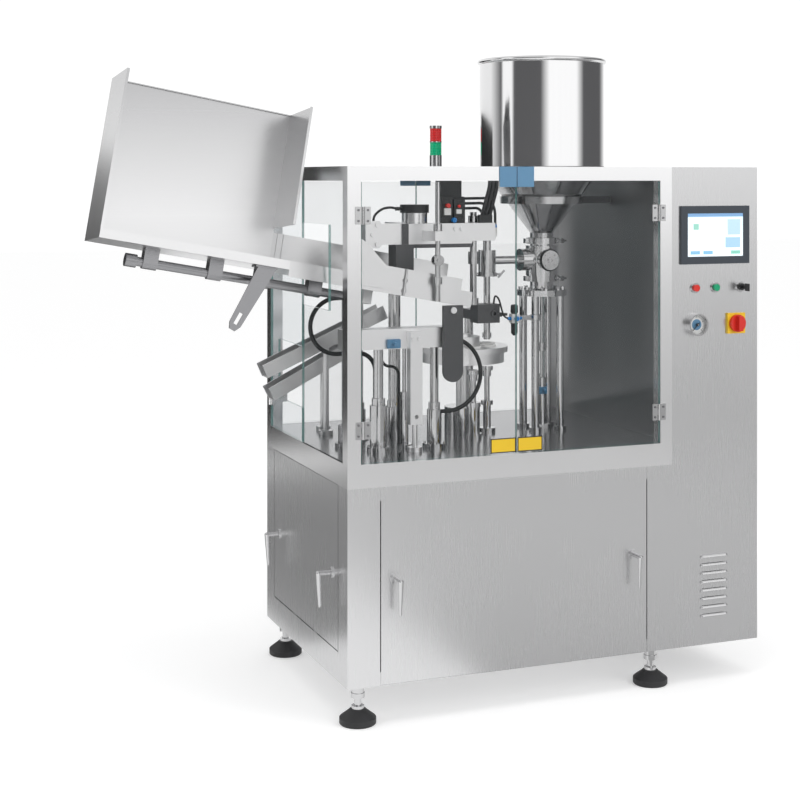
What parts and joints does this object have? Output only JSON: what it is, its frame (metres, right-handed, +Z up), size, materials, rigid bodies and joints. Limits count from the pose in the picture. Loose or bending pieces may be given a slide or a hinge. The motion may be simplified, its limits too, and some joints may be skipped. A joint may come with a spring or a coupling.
{
  "type": "tube filling machine",
  "caption": "Free-standing stainless tube filling machine with a sloped tube magazine, turning cup table, hopper and piston pump behind hinged glass doors, and a control tower.",
  "frame": {"origin": "centre of the underside of the front left foot, on the floor", "axes": "+X runs right along the front, +Y runs from the front to the rear, +Z is up"},
  "size_m": [2.1039, 0.881, 2.01],
  "materials": {
    "brushed_stainless": "brushed",
    "polished_stainless": "polished",
    "clear_glass": "clear",
    "black_rubber": "matte",
    "blue_plastic": "gloss",
    "black_plastic": "matte",
    "screen": "gloss",
    "red_plastic": "gloss",
    "green_plastic": "gloss",
    "yellow_plastic": "gloss",
    "white_plastic": "satin",
    "machined_aluminium": "satin",
    "dark_metal": "satin",
    "grey_paint": "satin"
  },
  "bodies": {
    "machine": {"base_frame": "brushed_stainless", "deck_plate": "brushed_stainless", "front_panel": "brushed_stainless", "left_panel": "brushed_stainless", "upper_frame": "brushed_stainless", "control_tower": "brushed_stainless", "control_fascia": "brushed_stainless", "magazine_tray": "brushed_stainless", "feed_channel": "brushed_stainless", "discharge_chutes": "brushed_stainless", "hopper": "polished_stainless", "pump_stand": "polished_stainless", "valve_body": "polished_stainless", "nozzle_body": "polished_stainless", "pipe_clamps": "polished_stainless", "deck_columns": "polished_stainless", "signal_mast": "polished_stainless", "foot_stems": "polished_stainless", "panel_bezels": "polished_stainless", "left_side_glass": "clear_glass", "foot_pads": "black_rubber", "hoses": "black_rubber", "hmi_bezel": "black_plastic", "upper_devices": "black_plastic", "hmi_screen": "screen", "red_lens": "red_plastic", "green_lens": "green_plastic", "switch_plate": "yellow_plastic", "nozzle_actuator": "white_plastic", "machine_beams": "machined_aluminium", "dark_brackets": "dark_metal", "magazine_support": "dark_metal", "drive_unit": "grey_paint"},
    "front_left_door": {"front_left_glass": "clear_glass", "front_left_fittings": "blue_plastic"},
    "front_right_door": {"front_right_glass": "clear_glass", "front_right_fittings": "blue_plastic"},
    "rear_left_pane": {"rear_left_door": "clear_glass"},
    "rear_right_pane": {"rear_right_door": "clear_glass"},
    "left_pane": {"left_door": "clear_glass"},
    "front_lever_left": {"front_latch_left": "polished_stainless"},
    "front_lever_right": {"front_latch_right": "polished_stainless"},
    "side_lever_front": {"side_latch_front": "polished_stainless"},
    "side_lever_rear": {"side_latch_rear": "polished_stainless"},
    "stop_cap": {"stop_button": "red_plastic"},
    "start_cap": {"start_button": "green_plastic"},
    "key": {"key_switch": "black_plastic"},
    "needle": {"gauge_needle": "black_plastic"},
    "main_handle": {"main_knob": "red_plastic"},
    "rotor": {"valve_rotor": "polished_stainless"},
    "piston": {"pump_piston": "polished_stainless"},
    "shut_off": {"nozzle_stem": "polished_stainless"},
    "table": {"turntable": "machined_aluminium", "tube_cups": "white_plastic"},
    "cams": {"cam_shaft": "polished_stainless"},
    "lifter_front": {"front_lifter": "polished_stainless"},
    "lifter_fill": {"fill_lifter": "polished_stainless"},
    "pusher": {"pusher_rod": "polished_stainless"},
    "spindle": {"press_spindle": "polished_stainless"},
    "flap": {"tube_flap": "dark_metal"}
  },
  "joints": [
    {"name": "front_left_door_hinge", "type": "hinge", "parent": "machine", "child": "front_left_door", "pos_m": [-0.002, -0.0545, 1.2], "axis": [0, 0, -1], "range_deg": [0, 105]},
    {"name": "front_right_door_hinge", "type": "hinge", "parent": "machine", "child": "front_right_door", "pos_m": [0.995, -0.0545, 1.2], "axis": [0, 0, 1], "range_deg": [0, 105]},
    {"name": "rear_left_door_hinge", "type": "hinge", "parent": "machine", "child": "rear_left_pane", "pos_m": [-0.002, 0.7745, 1.2], "axis": [0, 0, 1], "range_deg": [0, 105]},
    {"name": "rear_right_door_hinge", "type": "hinge", "parent": "machine", "child": "rear_right_pane", "pos_m": [0.995, 0.7745, 1.2], "axis": [0, 0, -1], "range_deg": [0, 105]},
    {"name": "left_door_hinge", "type": "hinge", "parent": "machine", "child": "left_pane", "pos_m": [-0.0545, 0.722, 1.2], "axis": [0, 0, -1], "range_deg": [0, 100]},
    {"name": "front_left_latch_turn", "type": "hinge", "parent": "machine", "child": "front_lever_left", "pos_m": [0.101, -0.06, 0.43], "axis": [0, -1, 0], "range_deg": [0, 90]},
    {"name": "front_right_latch_turn", "type": "hinge", "parent": "machine", "child": "front_lever_right", "pos_m": [0.904, -0.06, 0.43], "axis": [0, 1, 0], "range_deg": [0, 90]},
    {"name": "side_front_latch_turn", "type": "hinge", "parent": "machine", "child": "side_lever_front", "pos_m": [-0.06, 0.091, 0.43], "axis": [1, 0, 0], "range_deg": [0, 90]},
    {"name": "side_rear_latch_turn", "type": "hinge", "parent": "machine", "child": "side_lever_rear", "pos_m": [-0.06, 0.629, 0.43], "axis": [-1, 0, 0], "range_deg": [0, 90]},
    {"name": "stop_button_press", "type": "slide", "parent": "machine", "child": "stop_cap", "axis": [0, 1, 0], "range_m": [0, 0.004], "stiffness_N_per_m": 400},
    {"name": "start_button_press", "type": "slide", "parent": "machine", "child": "start_cap", "axis": [0, 1, 0], "range_m": [0, 0.004], "stiffness_N_per_m": 400},
    {"name": "key_turn", "type": "hinge", "parent": "machine", "child": "key", "pos_m": [1.298, -0.06, 1.262], "axis": [0, 1, 0], "range_deg": [0, 90]},
    {"name": "needle_turn", "type": "hinge", "parent": "machine", "child": "needle", "pos_m": [1.13, -0.06, 1.145], "axis": [0, 1, 0], "range_deg": [0, 270]},
    {"name": "main_switch_turn", "type": "hinge", "parent": "machine", "child": "main_handle", "pos_m": [1.279, -0.06, 1.145], "axis": [0, 1, 0], "range_deg": [0, 90]},
    {"name": "valve_turn", "type": "hinge", "parent": "machine", "child": "rotor", "pos_m": [0.788, 0.361, 1.34], "axis": [0, 1, 0], "range_deg": [0, 90]},
    {"name": "piston_stroke", "type": "slide", "parent": "machine", "child": "piston", "axis": [0, 0, 1], "range_m": [0, 0.018]},
    {"name": "shut_off_lift", "type": "slide", "parent": "machine", "child": "shut_off", "axis": [0, 0, 1], "range_m": [0, 0.01]},
    {"name": "table_turn", "type": "hinge", "parent": "machine", "child": "table", "pos_m": [0.496, 0.361, 1.063], "axis": [0, 0, 1], "continuous": true},
    {"name": "cam_turn", "type": "hinge", "parent": "machine", "child": "cams", "pos_m": [0.541, 0.361, 0.473], "axis": [0, 1, 0], "continuous": true},
    {"name": "front_lifter_rise", "type": "slide", "parent": "machine", "child": "lifter_front", "axis": [0, 0, 1], "range_m": [0, 0.016]},
    {"name": "fill_lifter_rise", "type": "slide", "parent": "machine", "child": "lifter_fill", "axis": [0, 0, 1], "range_m": [0, 0.016]},
    {"name": "pusher_rise", "type": "slide", "parent": "machine", "child": "pusher", "axis": [0, 0, 1], "range_m": [0, 0.04]},
    {"name": "spindle_rise", "type": "slide", "parent": "machine", "child": "spindle", "axis": [0, 0, 1], "range_m": [0, 0.03]},
    {"name": "flap_swing", "type": "hinge", "parent": "machine", "child": "flap", "pos_m": [0.35, 0.1, 1.203], "axis": [0, -1, 0], "range_deg": [0, 60]}
  ],
  "couplings": [
    {"joint": "cam_turn", "follows": "table_turn", "ratio": 8}
  ]
}
